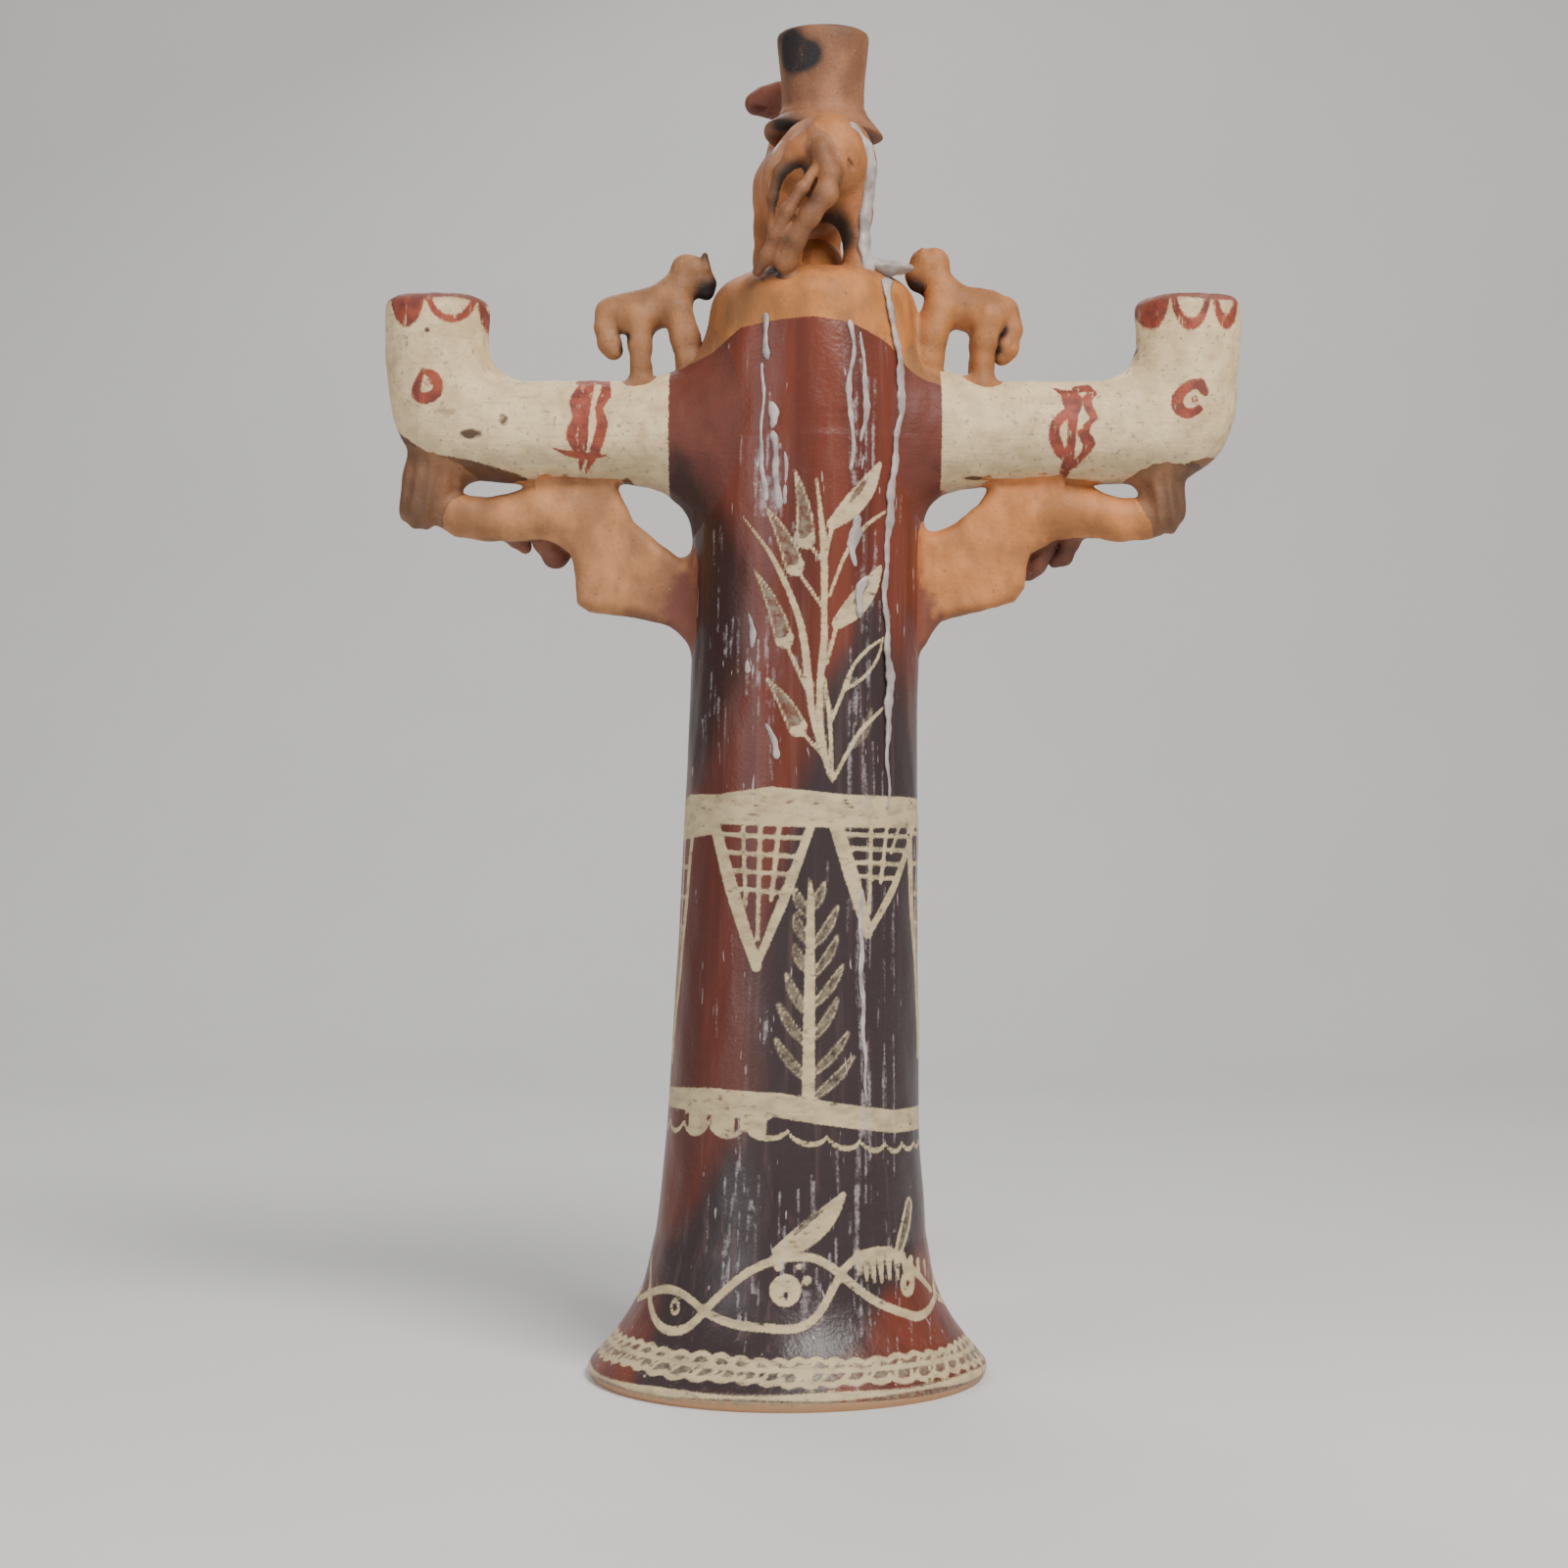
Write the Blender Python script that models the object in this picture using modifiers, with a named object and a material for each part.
"""Clay candelabra: a hollow trunk on a bell foot, two hollow arms that end in
candle sockets, a small animal on each arm, a mermaid bracket under each arm,
and a larger animal on the shoulder that carries a third candle cup.

Units are metres, +Z is up and the origin is the middle of the foot's box on
the surface it stands on. Stations and places are written in millimetres and
turned into metres by MM. A figure on a side is described once, in outward
distances from its own empty, and built for the side it stands on.
"""

import math

import bmesh
import bpy
from mathutils import Matrix, Vector

MM = 0.001

# Overall
HEIGHT = 520 * MM
HALF_SPAN = 165.7 * MM
GAP = 0.35 * MM
SEAM = 0.3 * MM
WELD_DISTANCE = 0.01 * MM
SIDES = {"left": -1, "right": 1}

# Trunk: outer outline as (height, radius) in millimetres, and its lean
FOOT_OUTLINE = [(0, 75.2), (2.5, 76.8), (5.5, 76.3), (12, 70.5), (23, 62.5), (38, 55.8), (60, 51.8)]
COLUMN_OUTLINE = [(60, 51.8), (95, 48.9), (150, 46.9), (228, 44.9), (270, 44.0), (330, 44.6), (365, 44.4),
                  (392, 42)]
DOME_OUTLINE = [(392, 42), (406, 40.6), (415, 39), (421, 34.5), (424.5, 27), (426, 17)]
SEAT_OUTLINE = [(428, 13), (434, 9.5), (438, 5), (439.5, 0)]
TRUNK_X = -9.8 * MM
LEAN = 0.0246
WALL = 7 * MM
FOOT_RING = 9.2 * MM
FOOT_RING_HEIGHT = 10 * MM
DOME_CROWN_INSIDE = [(31, 407), (26, 414), (15, 417.6), (0, 418.5)]
TURN_STEPS = 40
SMALL_TURN_STEPS = 28
VENT_RADIUS = 5 * MM
VENT_LENGTH = 40 * MM
VENT_MIDDLE = 42 * MM
VENT_SIDES = 16

# Arms
ARM_HEIGHT = 364 * MM
ARM_RADIUS = 20 * MM
# Stations along the arm's straight run as (distance from the middle, radius) in millimetres
ARM_RUN = [(30, 24), (50, 23.4), (72, 20), (95.5, 19.8)]
ARM_CORE_RADIUS = 13 * MM
ARM_CORE_START = 25
# The core's rounded far end as (distance past the socket's axis in millimetres, share of its radius)
ARM_CORE_END = [(-6, 1), (0, 0.92), (5, 0.6)]
SOCKET_RADIUS = 20.2 * MM
SOCKET_TOP = 416 * MM
SOCKET_LIP = 5 * MM
ELBOW_FILLET = 15 * MM
ELBOW_HEEL = {"left": 7 * MM, "right": 8.8 * MM}
ARM_SIDES = 20
ELBOW_STEPS = 7
LIP_STEPS = 3

# Candle bores
CANDLE_RADIUS = 11 * MM
CANDLE_DEPTH = 28 * MM
BORE_OVERRUN = 10 * MM
BORE_SIDES = 32

# Candle cup and its brim: outlines as (radius, height) in millimetres
CUP_AT = Vector((4.1, 5, 0)) * MM
CUP_OUTLINE = [(15.2, 520), (17.4, 519.2), (18, 517), (17.5, 510), (16.4, 500), (16.1, 491), (16.6, 486.3)]
BRIM_OUTLINE = [(16.6, 486), (20, 484.4), (23.2, 481.4), (23.4, 480), (22, 479.3), (18, 480.6), (12, 481)]

# Clay colours
RED_SLIP = (0.15, 0.045, 0.03)
CREAM_SLIP = (0.62, 0.54, 0.38)
BARE_CLAY = (0.46, 0.20, 0.08)
BROWN_CLAY = (0.27, 0.13, 0.07)
SOOTED_CLAY = (0.06, 0.035, 0.028)
CLAY_ROUGHNESS = 0.55
SHARP_ANGLE = math.radians(40)

# How finely limbs and ears are rounded
LIMB_ROUNDING = 2
PLAIN_ROUNDING = 3
BODY_ROUNDING = 4
CORE_ROUNDING = 6
EAR_SIDES = 8
EAR_TIP_SHARE = 0.35
EAR_HEIGHT_SHARE = 2.6

# Figures: stations along each limb as (outward, depth, height, radius) in
# millimetres from the figure's empty. Depth grows away from the figure's back.
ANIMALS = {
    "left": {
        "at": (65, 0, 384),
        "body": [(19.5, 0, 25, 2.5), (17.5, 0, 25.2, 6), (10, 0, 26, 8.2), (-1, 0, 27.5, 7.8),
                 (-9, 0, 29.5, 8.6), (-14, 0, 36, 7), (-15, 0, 41, 5.6)],
        "head": [(-12.5, 0, 45.5, 2.5), (-15, 0, 45.5, 5), (-20, 0, 42.5, 5.4), (-24, 0, 36.5, 3.9),
                 (-25, 0, 33.5, 2.2)],
        "ears": [(-22.5, 49, 2.4), (-17.5, 49.5, 2)],
        "tail": [(15.5, 0, 29.5, 2.2), (15.9, -1, 22, 3.7), (14, -1.5, 15.5, 4.5), (12.6, -1.5, 11.5, 3.4),
                 (12.3, -1.5, 9.8, 1.8)],
        "leg_rear": [(4, 24, 4.8), (3, 14, 4.2), (2.5, 6, 3.6), (2, -2.2, 4)],
        "leg_front": [(-12, 26, 4.9), (-14.5, 15, 4.4), (-16, 7, 3.9), (-16.3, -0.5, 4.2)],
    },
    "right": {
        "at": (65, 0, 384),
        "body": [(15.5, 0, 24, 2.5), (13.2, 0, 24.4, 6.2), (6, 0, 26, 8.4), (-3, 0, 27, 8),
                 (-12, 0, 29.5, 8.8), (-15.5, 0, 36.5, 7), (-17, 0, 42, 5.6)],
        "head": [(-14, 0, 47, 2.8), (-16.5, 0, 48.2, 5.4), (-21, 0, 46.6, 6), (-24, 0, 41.5, 4.9),
                 (-24.6, 0, 38.2, 2.8)],
        "ears": [(-23.5, 51.5, 2), (-17.5, 53, 2)],
        "tail": [(13, 0, 29, 2.2), (13, -1, 20, 3.6), (11, -2, 13, 4.2), (9.2, -2.5, 8.5, 3.3),
                 (8.6, -2.5, 7, 1.8)],
        "leg_rear": [(5, 24, 4.8), (4, 15, 4.2), (3.6, 7, 3.6), (3.4, -2.2, 4)],
        "leg_front": [(-15, 26, 4.9), (-18.5, 16, 4.7), (-19.5, 8, 4.4), (-19.5, 2, 4)],
    },
}
ANIMAL_HALF_WIDTH = 5.2
ANIMAL_EAR_SPREAD = 3.2

MERMAIDS = {
    "left": {
        "at": (97.7, 0, 332),
        "fin": [(-55, -49), (-47.5, -46.2), (-42, -43), (-28.5, -39), (-11, -37.3), (-6.4, -34), (-6, -25),
                (-4, -15), (0, -9.5), (0, 12.5), (-21.5, 12.5), (-28.5, -2.2), (-37.7, -10.5), (-46, -17),
                (-55, -20)],
        "body": [(0.3, 0, 1.6, 9.8), (8, 0, 1.2, 10), (19, 0, -0.6, 8.4), (29, 0, -1.4, 7.7), (38, 0, 0, 7.4),
                 (46, 0, 3, 6.4)],
        "head": (52, 0, 11, 11, 11, 17),
        "arm_outer": [(24, 5, -2, 4), (21.5, 9, -8, 3.2), (18, 10, -11.5, 2.7), (15.5, 10, -12.5, 2)],
        "arm_inner": [(8.5, 5, -3, 4.2), (6, 10, -11.5, 3.6), (2, 10.5, -14.5, 3.8), (-2.5, 10, -13, 2.6)],
    },
    "right": {
        "at": (88, 0, 332),
        "fin": [(-45, -48.5), (-38, -41), (-34, -39.6), (-23.4, -37.5), (-10, -33.4), (-5.8, -28),
                (-5.4, -20), (-3.6, -15), (0, -11), (0, 12.5), (-18, 12.5), (-23.4, 4.2), (-32, -2.5),
                (-45, -9.5)],
        "body": [(0.3, 0, 0.6, 10.4), (9, 0, 1.8, 10.2), (19, 0, 1.2, 8.6), (31, 0, -1.6, 7.6),
                 (41, 0, -1, 7.2), (46, 0, 1.5, 6.2)],
        "head": (49.5, 0, 8.5, 9.5, 11, 14.5),
        "arm_outer": [(21, 5, -1, 4), (15, 9, -8, 3), (13, 10, -14, 2.6), (9.5, 10, -17, 2.2)],
        "arm_inner": [(6, 5, -5, 4), (2.5, 10, -13, 3.6), (-0.5, 10.5, -19, 3.9), (-3, 10, -21.5, 2.6)],
    },
}
FIN_THICKNESS = 15 * MM
FIN_BEVEL = 3.5 * MM
FIN_BEVEL_SEGMENTS = 2
FIN_EDGE_ANGLE = math.radians(50)
HEAD_SEGMENTS = 16
HEAD_RINGS = 10

TOP_ANIMAL = {
    "body": [(7, -36, 461, 4), (7, -33.5, 462, 11.5), (5.5, -22, 463, 18.8), (2.5, -8, 461.5, 18.6),
             (-1.5, 6, 460.5, 18), (-5.5, 18, 461.5, 17.6), (-7, 28, 467, 13.5), (-7, 36, 479, 9.6),
             (-6, 38, 492.5, 8.4)],
    "head": [(8, 38, 499, 4), (5, 38, 499.5, 8), (-4, 38, 501, 9.4), (-14, 37.5, 501.5, 7),
             (-21, 37, 501.3, 6.1), (-25, 37, 501, 3.2)],
    "tail": [(4, -34, 474, 2.5), (5.5, -38, 466, 4.2), (9, -39, 452, 5), (0, -38.5, 439, 4.8),
             (-13, -34, 431.5, 4.4), (-18, -29.5, 424, 3.6)],
    "leg_rear_left": [(-6, -19, 458, 7.5), (-8.5, -20, 444, 6.2), (-9.6, -21, 433, 5.4),
                      (-10.3, -21.5, 422.6, 6)],
    "leg_rear_right": [(11, -18, 459, 9), (15, -19, 446, 7.2), (16.4, -20, 434, 4.6),
                       (16.8, -20.5, 422.6, 5.2)],
    "leg_front_left": [(-11, 16, 459, 9), (-15, 17, 446, 7.2), (-17.5, 18, 434, 5), (-18.3, 18, 422.6, 5.4)],
    "leg_front_right": [(2, 21, 458, 7.5), (5, 22.5, 444, 5.8), (7, 23, 433, 4.8), (7.6, 23, 422.6, 5.4)],
}
TOP_ANIMAL_EARS = [(1, 33, 508, 3.4), (1, 43, 508, 3.4)]


def empty_scene():
    for old in list(bpy.data.objects):
        bpy.data.objects.remove(old, do_unlink=True)


def new_collection(name):
    collection = bpy.data.collections.new(name)
    bpy.context.scene.collection.children.link(collection)
    return collection


empty_scene()
PIECES = new_collection("clay_candelabra")
CUTTERS = new_collection("cutters")


def clay(name, colour):
    material = bpy.data.materials.new(name + "_clay")
    material.use_nodes = True
    shader = material.node_tree.nodes["Principled BSDF"]
    shader.inputs["Base Color"].default_value = (*colour, 1)
    shader.inputs["Roughness"].default_value = CLAY_ROUGHNESS
    shader.inputs["Metallic"].default_value = 0
    material.diffuse_color = (*colour, 1)
    return material


def add_piece(name, mesh, colour, parent=None):
    piece = bpy.data.objects.new(name, mesh)
    PIECES.objects.link(piece)
    mesh.materials.clear()
    mesh.materials.append(clay(name, colour))
    mesh.shade_smooth()
    mesh.set_sharp_from_angle(angle=SHARP_ANGLE)
    piece.parent = parent
    return piece


def add_cutter(name, mesh):
    cutter = bpy.data.objects.new(name, mesh)
    CUTTERS.objects.link(cutter)
    cutter.hide_render = True
    cutter.display_type = "WIRE"
    return cutter


def adopted_cutter(name):
    """Turns the primitive that was just added into a cutter, where it stands."""
    added = bpy.context.object
    bpy.context.view_layer.update()
    cutter = add_cutter(name, added.data)
    cutter.matrix_world = added.matrix_world
    bpy.data.objects.remove(added)
    return cutter


def baked_mesh(obj):
    """The object's mesh with its modifiers applied, in its own space."""
    bpy.context.view_layer.update()
    evaluated = obj.evaluated_get(bpy.context.evaluated_depsgraph_get())
    return bpy.data.meshes.new_from_object(evaluated)


def closed_mesh(mesh):
    """Welds loose caps and points every face outwards."""
    shape = bmesh.new()
    shape.from_mesh(mesh)
    bmesh.ops.remove_doubles(shape, verts=shape.verts, dist=WELD_DISTANCE)
    bmesh.ops.recalc_face_normals(shape, faces=shape.faces)
    shape.to_mesh(mesh)
    shape.free()
    return mesh


def cut(piece, cutter, operation="DIFFERENCE"):
    boolean = piece.modifiers.new(cutter.name, "BOOLEAN")
    boolean.operation = operation
    boolean.solver = "EXACT"
    boolean.object = cutter


def grown_mesh(mesh):
    """Moves every face of a closed mesh outwards by the gap between pieces."""
    shape = bmesh.new()
    shape.from_mesh(mesh)
    shape.normal_update()
    for vertex in shape.verts:
        vertex.co += vertex.normal * GAP
    shape.to_mesh(mesh)
    shape.free()
    return mesh


def fit_round(piece, *neighbours):
    """Cuts a piece back from its neighbours, which keep their shape."""
    for neighbour in neighbours:
        mesh = grown_mesh(baked_mesh(neighbour))
        cutter = add_cutter(f"{neighbour.name}_around_{piece.name}", mesh)
        cutter.matrix_world = neighbour.matrix_world
        cut(piece, cutter)


def smooth_stations(stations, steps):
    """Catmull-Rom samples through stations of any width, ends included."""
    points = [Vector(station) for station in stations]
    samples = []
    for index in range(len(points) - 1):
        before = points[max(index - 1, 0)]
        start, end = points[index], points[index + 1]
        after = points[min(index + 2, len(points) - 1)]
        for step in range(steps):
            t = step / steps
            samples.append(start + 0.5 * t * (
                (end - before)
                + t * (2 * before - 5 * start + 4 * end - after)
                + t * t * (3 * start - before - 3 * end + after)))
    samples.append(points[-1])
    return samples


def turned_mesh(name, profile, closed, steps=TURN_STEPS):
    """Turns a profile of (radius, height) in metres that runs down its outer side."""
    mesh = bpy.data.meshes.new(name)
    corners = [(radius, 0, height) for radius, height in profile]
    edges = [(index, index + 1) for index in range(len(corners) - 1)]
    if closed:
        edges.append((len(corners) - 1, 0))
    mesh.from_pydata(corners, edges, [])
    blank = bpy.data.objects.new(name + "_profile", mesh)
    PIECES.objects.link(blank)
    screw = blank.modifiers.new("turn", "SCREW")
    screw.steps = steps
    screw.render_steps = steps
    screw.use_merge_vertices = True
    screw.merge_threshold = WELD_DISTANCE
    turned = baked_mesh(blank)
    bpy.data.objects.remove(blank)
    return turned


def leaning(mesh):
    """Leans a turned mesh the way the whole trunk leans."""
    mesh.transform(Matrix(((1, 0, LEAN, TRUNK_X), (0, 1, 0, 0), (0, 0, 1, 0), (0, 0, 0, 1))))
    return mesh


def wall_profile(outline, steps, top, bottom):
    """A closed wall section between two heights, outer side first and downwards."""
    stations = smooth_stations(outline, steps)
    outer = [(radius * MM, min(max(height * MM, bottom), top)) for height, radius in stations]
    inner = [(radius - WALL, height) for radius, height in outer]
    return outer[::-1] + inner


def foot_bell():
    top = FOOT_OUTLINE[-1][0] * MM - SEAM / 2
    outer = [(radius * MM, min(height * MM, top)) for height, radius in smooth_stations(FOOT_OUTLINE, 2)]
    hollow = [(radius, height) for radius, height in outer if height == 0 or height > FOOT_RING_HEIGHT]
    inner = [(radius - FOOT_RING, height) for radius, height in hollow]
    mesh = leaning(turned_mesh("foot_bell", outer[::-1] + inner, closed=True))
    add_piece("foot_bell", mesh, RED_SLIP)


def vent_cutter(side):
    """A round hole from the trunk's hollow into an arm's core."""
    bpy.ops.mesh.primitive_cylinder_add(
        vertices=VENT_SIDES, radius=VENT_RADIUS, depth=VENT_LENGTH,
        location=(side * VENT_MIDDLE, 0, ARM_HEIGHT), rotation=(0, math.radians(90), 0))
    return adopted_cutter(f"vent_{side}")


def trunk_column():
    bottom = COLUMN_OUTLINE[0][0] * MM + SEAM / 2
    top = COLUMN_OUTLINE[-1][0] * MM - SEAM / 2
    profile = wall_profile(COLUMN_OUTLINE, 1, top, bottom)
    column = add_piece("trunk_column", leaning(turned_mesh("trunk_column", profile, closed=True)), RED_SLIP)
    for side in SIDES.values():
        cut(column, vent_cutter(side))


def shoulder_dome():
    bottom = DOME_OUTLINE[0][0] * MM + SEAM / 2
    rising = smooth_stations(DOME_OUTLINE + SEAT_OUTLINE, 1)
    outer = [(radius * MM, max(height * MM, bottom)) for height, radius in rising]
    crown = [(radius * MM, height * MM) for radius, height in DOME_CROWN_INSIDE]
    inner = [(outer[0][0] - WALL, bottom)] + crown
    mesh = leaning(turned_mesh("shoulder_dome", outer[::-1] + inner, closed=False))
    return add_piece("shoulder_dome", mesh, BARE_CLAY)


def trunk_envelope():
    """The trunk as one filled solid, a gap larger all round, to cut what is luted to it."""
    outline = smooth_stations(FOOT_OUTLINE[:-1] + COLUMN_OUTLINE[:-1] + DOME_OUTLINE, 1)
    outer = [(radius * MM + GAP, height * MM) for height, radius in outline]
    profile = [(0, outer[-1][1] + GAP)] + outer[::-1] + [(0, 0)]
    return add_cutter("trunk_envelope", leaning(turned_mesh("trunk_envelope", profile, closed=False)))


def lofted_mesh(name, rings):
    """Skins closed rings of equal length and caps both ends."""
    shape = bmesh.new()
    loops = [[shape.verts.new(point) for point in ring] for ring in rings]
    count = len(loops[0])
    for near, far in zip(loops, loops[1:]):
        for index in range(count):
            follow = (index + 1) % count
            shape.faces.new((near[index], near[follow], far[follow], far[index]))
    shape.faces.new(loops[0][::-1])
    shape.faces.new(loops[-1])
    bmesh.ops.recalc_face_normals(shape, faces=shape.faces)
    mesh = bpy.data.meshes.new(name)
    shape.to_mesh(mesh)
    shape.free()
    return mesh


def arm_rings(side, heel):
    """Rings from inside the trunk, along the arm, round the elbow and up the socket.

    Each ring has a middle, a half height along its own 'rise' direction and a
    half depth. The elbow's rings fan about the centre of the inner fillet, and
    the heel pushes their outer edge past a plain round bend.
    """
    socket_x = HALF_SPAN - SOCKET_RADIUS
    pivot = Vector((socket_x - ARM_RADIUS - ELBOW_FILLET, 0, ARM_HEIGHT + ARM_RADIUS + ELBOW_FILLET))
    rings = [(Vector((x * MM, 0, ARM_HEIGHT)), Vector((0, 0, 1)), radius * MM, radius * MM)
             for x, radius in ARM_RUN]
    for step in range(ELBOW_STEPS + 1):
        angle = math.radians(90) * step / ELBOW_STEPS
        outward = Vector((math.sin(angle), 0, -math.cos(angle)))
        reach = ELBOW_FILLET + 2 * ARM_RADIUS + heel * math.sin(2 * angle) ** 3
        half = (reach - ELBOW_FILLET) / 2
        rings.append((pivot + outward * (reach - half), -outward, half, ARM_RADIUS))
    for step in range(LIP_STEPS + 1):
        angle = math.radians(90) * step / LIP_STEPS
        radius = SOCKET_RADIUS - SOCKET_LIP * (1 - math.cos(angle))
        height = SOCKET_TOP - SOCKET_LIP + SOCKET_LIP * math.sin(angle)
        rings.append((Vector((socket_x, 0, height)), Vector((-1, 0, 0)), radius, radius))
    points = []
    for middle, rise, half_rise, half_depth in rings:
        ring = []
        for index in range(ARM_SIDES):
            turn = 2 * math.pi * index / ARM_SIDES
            point = middle + rise * half_rise * math.cos(turn) + Vector((0, half_depth * math.sin(turn), 0))
            ring.append((side * point.x, point.y, point.z))
        points.append(ring)
    return points


def candle_bore(name, x, y, top):
    """A round bore with a flat floor, open at the top."""
    bpy.ops.mesh.primitive_cylinder_add(
        vertices=BORE_SIDES, radius=CANDLE_RADIUS, depth=CANDLE_DEPTH + BORE_OVERRUN,
        location=(x, y, top + (BORE_OVERRUN - CANDLE_DEPTH) / 2))
    return adopted_cutter(name)


def tube_mesh(name, stations, steps=2, resolution=PLAIN_ROUNDING):
    """A tapered tube with filled caps through (x, y, z, radius) in metres."""
    curve = bpy.data.curves.new(name, "CURVE")
    curve.dimensions = "3D"
    curve.bevel_depth = 1
    curve.bevel_resolution = resolution
    curve.use_fill_caps = True
    samples = smooth_stations(stations, steps)
    spline = curve.splines.new("POLY")
    spline.points.add(len(samples) - 1)
    for point, sample in zip(spline.points, samples):
        point.co = (sample[0], sample[1], sample[2], 1)
        point.radius = sample[3]
    blank = bpy.data.objects.new(name + "_curve", curve)
    PIECES.objects.link(blank)
    mesh = closed_mesh(baked_mesh(blank))
    bpy.data.objects.remove(blank)
    return mesh


def arm_core(side):
    """The arm's own hollow, open at the trunk end."""
    socket_x = (HALF_SPAN - SOCKET_RADIUS) / MM
    stations = [(ARM_CORE_START, 1)] + [(socket_x + past, share) for past, share in ARM_CORE_END]
    points = [(side * x * MM, 0, ARM_HEIGHT, ARM_CORE_RADIUS * share) for x, share in stations]
    return add_cutter(f"arm_core_{side}", tube_mesh("arm_core", points, steps=1, resolution=CORE_ROUNDING))


def arm(label, envelope):
    """Makes the arm and returns its filled shape, a gap larger, to cut what is luted to it."""
    side = SIDES[label]
    mesh = lofted_mesh(f"{label}_arm", arm_rings(side, ELBOW_HEEL[label]))
    piece = add_piece(f"{label}_arm", mesh, CREAM_SLIP)
    solid = add_cutter(f"{label}_arm_solid", grown_mesh(mesh.copy()))
    cut(piece, envelope)
    cut(piece, arm_core(side))
    cut(piece, candle_bore(f"{label}_socket_bore", side * (HALF_SPAN - SOCKET_RADIUS), 0, SOCKET_TOP))
    return solid


def figure_empty(name, label, at):
    empty = bpy.data.objects.new(name, None)
    PIECES.objects.link(empty)
    outward, depth, height = at
    empty.location = Vector((SIDES[label] * outward, depth, height)) * MM
    return empty


def sided(label, stations):
    """Stations given outwards become metres on the figure's own side."""
    side = SIDES[label]
    return [(side * out * MM, depth * MM, height * MM, radius * MM)
            for out, depth, height, radius in stations]


def join_ears(head, ears, parent):
    """Unites small pointed ears, given as (x, y, z, radius) in metres, with a head."""
    for number, (x, y, z, radius) in enumerate(ears, 1):
        bpy.ops.mesh.primitive_cone_add(
            vertices=EAR_SIDES, radius1=radius, radius2=radius * EAR_TIP_SHARE,
            depth=radius * EAR_HEIGHT_SHARE)
        mesh = bpy.context.object.data
        bpy.data.objects.remove(bpy.context.object)
        ear = add_cutter(f"{head.name}_ear_{number}", mesh)
        ear.parent = parent
        ear.location = (x, y, z)
        cut(head, ear, "UNION")


def arm_animal(label, arm_solid, envelope):
    """A small four-legged animal that stands on an arm and looks at the trunk."""
    shape = ANIMALS[label]
    name = f"{label}_animal"
    empty = figure_empty(name, label, shape["at"])
    body = add_piece(f"{name}_body", tube_mesh("body", sided(label, shape["body"])), BARE_CLAY, empty)
    head = add_piece(f"{name}_head", tube_mesh("head", sided(label, shape["head"])), BROWN_CLAY, empty)
    ears = [(SIDES[label] * out * MM, ear_side * ANIMAL_EAR_SPREAD * MM, height * MM, radius * MM)
            for ear_side, (out, height, radius) in zip((-1, 1), shape["ears"])]
    join_ears(head, ears, empty)
    tail = add_piece(f"{name}_tail", tube_mesh("tail", sided(label, shape["tail"])), BROWN_CLAY, empty)
    cut(body, envelope)
    cut(head, envelope)
    fit_round(head, body)
    fit_round(tail, body)
    for end in ("front", "rear"):
        for depth_name, depth_sign in (("near", -1), ("far", 1)):
            depth = depth_sign * ANIMAL_HALF_WIDTH
            stations = [(out, depth, height, radius) for out, height, radius in shape[f"leg_{end}"]]
            mesh = tube_mesh("leg", sided(label, stations), resolution=LIMB_ROUNDING)
            leg = add_piece(f"{name}_leg_{end}_{depth_name}", mesh, BARE_CLAY, empty)
            cut(leg, arm_solid)
            cut(leg, envelope)
            fit_round(leg, body)
            if end == "rear":
                fit_round(leg, tail)


def fin_mesh(name, label, outline):
    """A flat fin in the XZ plane, made from its outline and given its thickness."""
    curve = bpy.data.curves.new(name, "CURVE")
    curve.dimensions = "2D"
    curve.fill_mode = "BOTH"
    curve.extrude = FIN_THICKNESS / 2
    spline = curve.splines.new("POLY")
    spline.points.add(len(outline) - 1)
    spline.use_cyclic_u = True
    for point, (out, height) in zip(spline.points, outline):
        point.co = (SIDES[label] * out * MM, height * MM, 0, 1)
    blank = bpy.data.objects.new(name + "_outline", curve)
    PIECES.objects.link(blank)
    mesh = closed_mesh(baked_mesh(blank))
    bpy.data.objects.remove(blank)
    mesh.transform(Matrix.Rotation(math.radians(90), 4, "X"))
    return mesh


def mermaid(label, arm_solid, envelope):
    """A reclining figure whose fin braces the arm against the trunk."""
    shape = MERMAIDS[label]
    name = f"{label}_mermaid"
    empty = figure_empty(name, label, shape["at"])
    tail = add_piece(f"{name}_tail", fin_mesh("fin", label, shape["fin"]), BARE_CLAY, empty)
    bevel = tail.modifiers.new("soft edge", "BEVEL")
    bevel.width = FIN_BEVEL
    bevel.segments = FIN_BEVEL_SEGMENTS
    bevel.limit_method = "ANGLE"
    bevel.angle_limit = FIN_EDGE_ANGLE
    mesh = tube_mesh("body", sided(label, shape["body"]), resolution=BODY_ROUNDING)
    body = add_piece(f"{name}_body", mesh, BARE_CLAY, empty)
    out, depth, height, half_out, half_depth, half_height = shape["head"]
    bpy.ops.mesh.primitive_uv_sphere_add(segments=HEAD_SEGMENTS, ring_count=HEAD_RINGS, radius=MM)
    mesh = bpy.context.object.data
    bpy.data.objects.remove(bpy.context.object)
    mesh.transform(Matrix.Diagonal((half_out, half_depth, half_height, 1)))
    head = add_piece(f"{name}_head", mesh, SOOTED_CLAY, empty)
    head.location = Vector((SIDES[label] * out, depth, height)) * MM
    for piece in (tail, body, head):
        cut(piece, arm_solid)
    cut(tail, envelope)
    fit_round(body, head)
    fit_round(tail, body)
    for limb in ("arm_outer", "arm_inner"):
        mesh = tube_mesh(limb, sided(label, shape[limb]), resolution=LIMB_ROUNDING)
        piece = add_piece(f"{name}_{limb}", mesh, SOOTED_CLAY, empty)
        fit_round(piece, body, tail)


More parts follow.
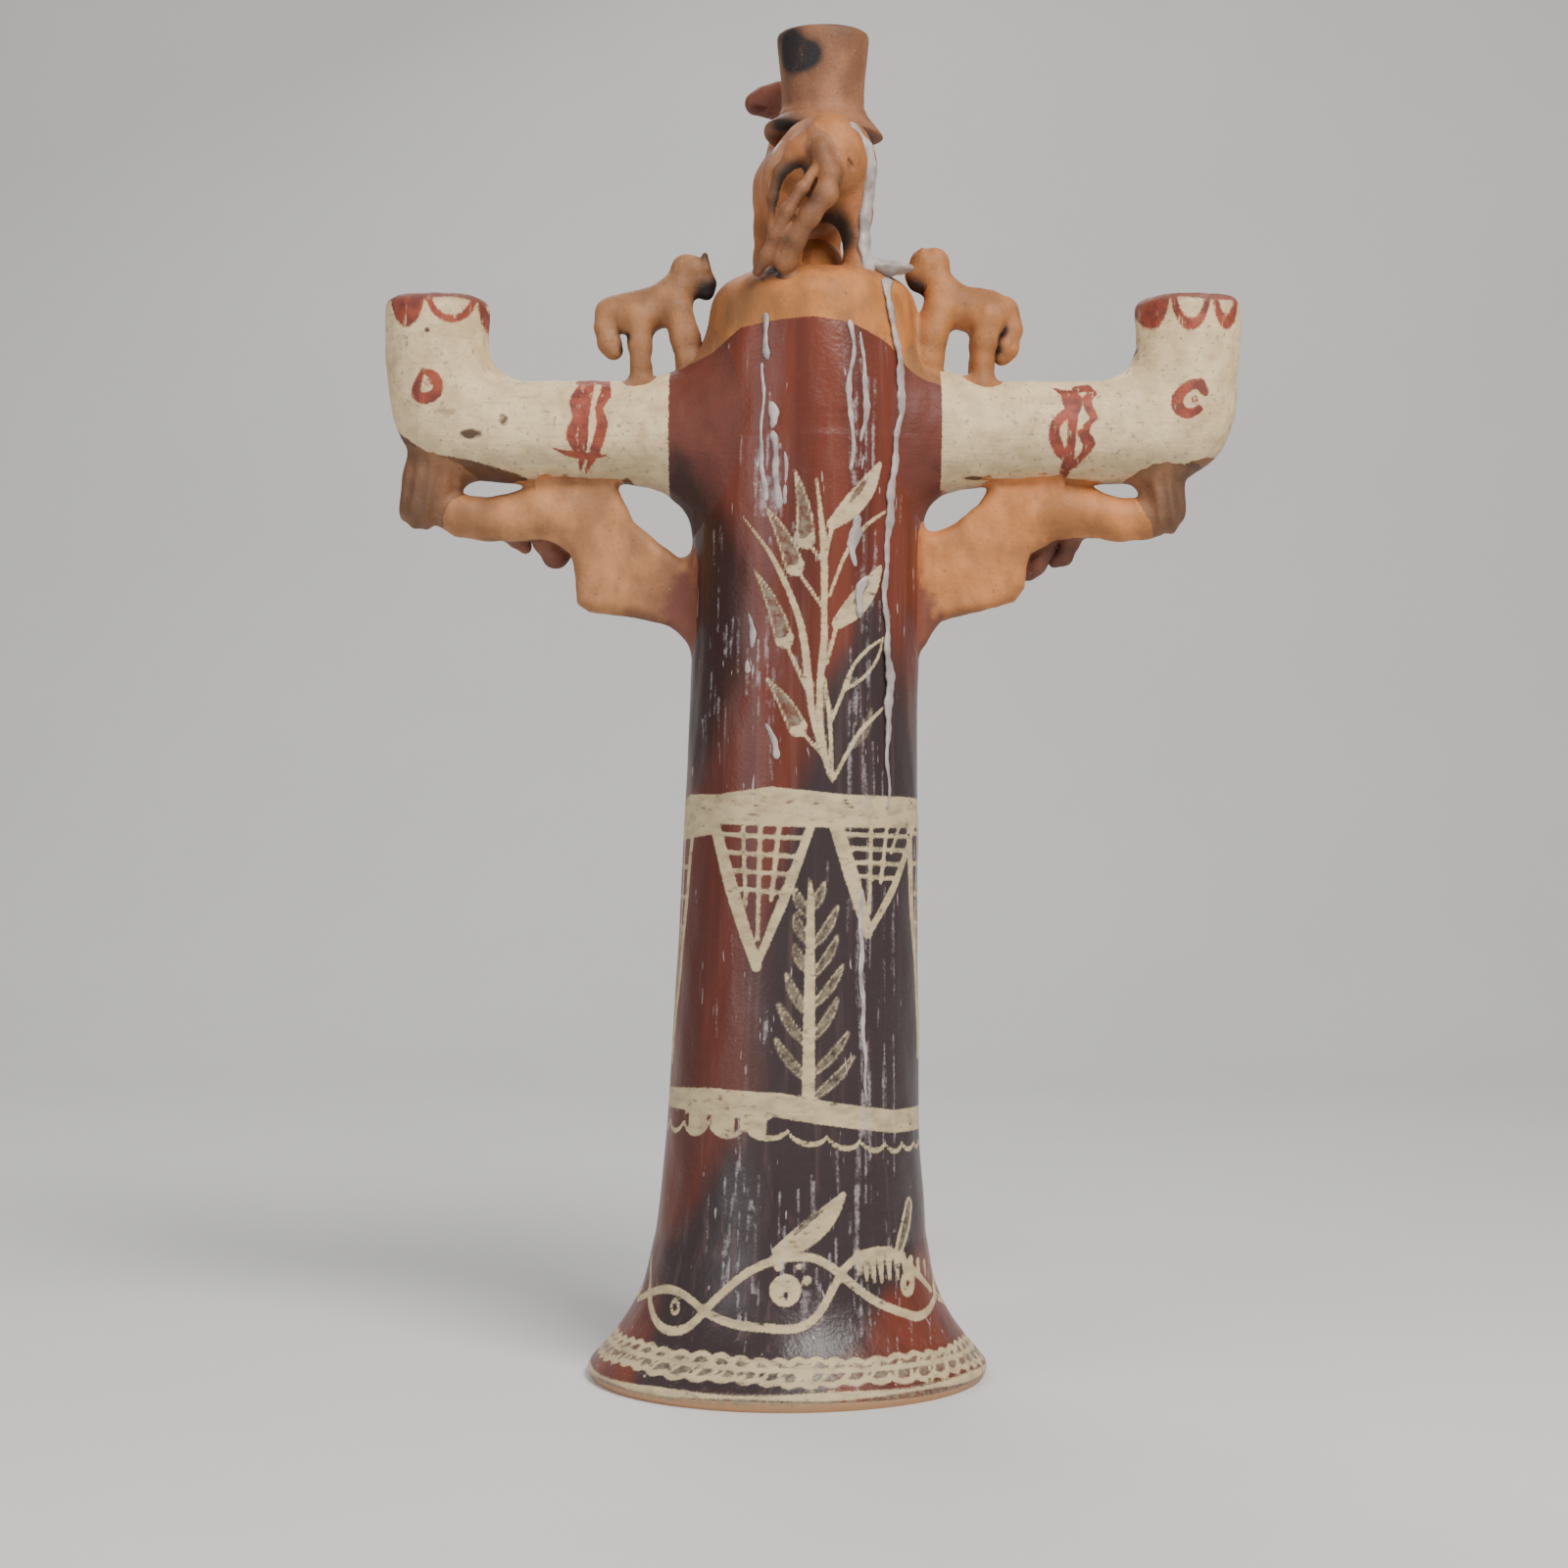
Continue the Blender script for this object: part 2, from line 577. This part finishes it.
def top_animal(dome, brim, cup):
    """The larger animal that stands on the shoulder and carries the candle cup."""
    name = "top_animal"
    meshes = {}
    for part, stations in TOP_ANIMAL.items():
        points = [tuple(value * MM for value in station) for station in stations]
        rounding = BODY_ROUNDING if part in ("body", "head") else PLAIN_ROUNDING
        meshes[part] = tube_mesh(part, points, resolution=rounding)
    body = add_piece(f"{name}_body", meshes.pop("body"), BARE_CLAY)
    fit_round(body, brim)
    head = add_piece(f"{name}_head", meshes.pop("head"), RED_SLIP)
    ears = [tuple(value * MM for value in ear) for ear in TOP_ANIMAL_EARS]
    join_ears(head, ears, None)
    fit_round(head, body, cup)
    tail = add_piece(f"{name}_tail", meshes.pop("tail"), BROWN_CLAY)
    fit_round(tail, body, dome)
    for part, mesh in meshes.items():
        leg = add_piece(f"{name}_{part}", mesh, BARE_CLAY)
        fit_round(leg, dome, body)
        if part.startswith("leg_rear"):
            fit_round(leg, tail)


def small_turned_mesh(name, outline):
    """Turns a filled piece from its outer outline of (radius, height) in millimetres."""
    profile = [(0, outline[0][1])] + outline + [(0, outline[-1][1])]
    metres = [(radius * MM, height * MM) for radius, height in profile]
    return turned_mesh(name, metres, closed=False, steps=SMALL_TURN_STEPS)


def cup_brim():
    """The flared disc round the cup's foot."""
    brim = add_piece("cup_brim", small_turned_mesh("cup_brim", BRIM_OUTLINE), BROWN_CLAY)
    brim.location = CUP_AT
    return brim


def candle_cup():
    """The third candle socket, above the top animal."""
    cup = add_piece("candle_cup", small_turned_mesh("candle_cup", CUP_OUTLINE), BROWN_CLAY)
    cup.location = CUP_AT
    cut(cup, candle_bore("cup_bore", CUP_AT.x, CUP_AT.y, HEIGHT))
    return cup


def main():
    foot_bell()
    trunk_column()
    dome = shoulder_dome()
    envelope = trunk_envelope()
    for label in SIDES:
        arm_solid = arm(label, envelope)
        arm_animal(label, arm_solid, envelope)
        mermaid(label, arm_solid, envelope)
    brim = cup_brim()
    cup = candle_cup()
    top_animal(dome, brim, cup)


main()
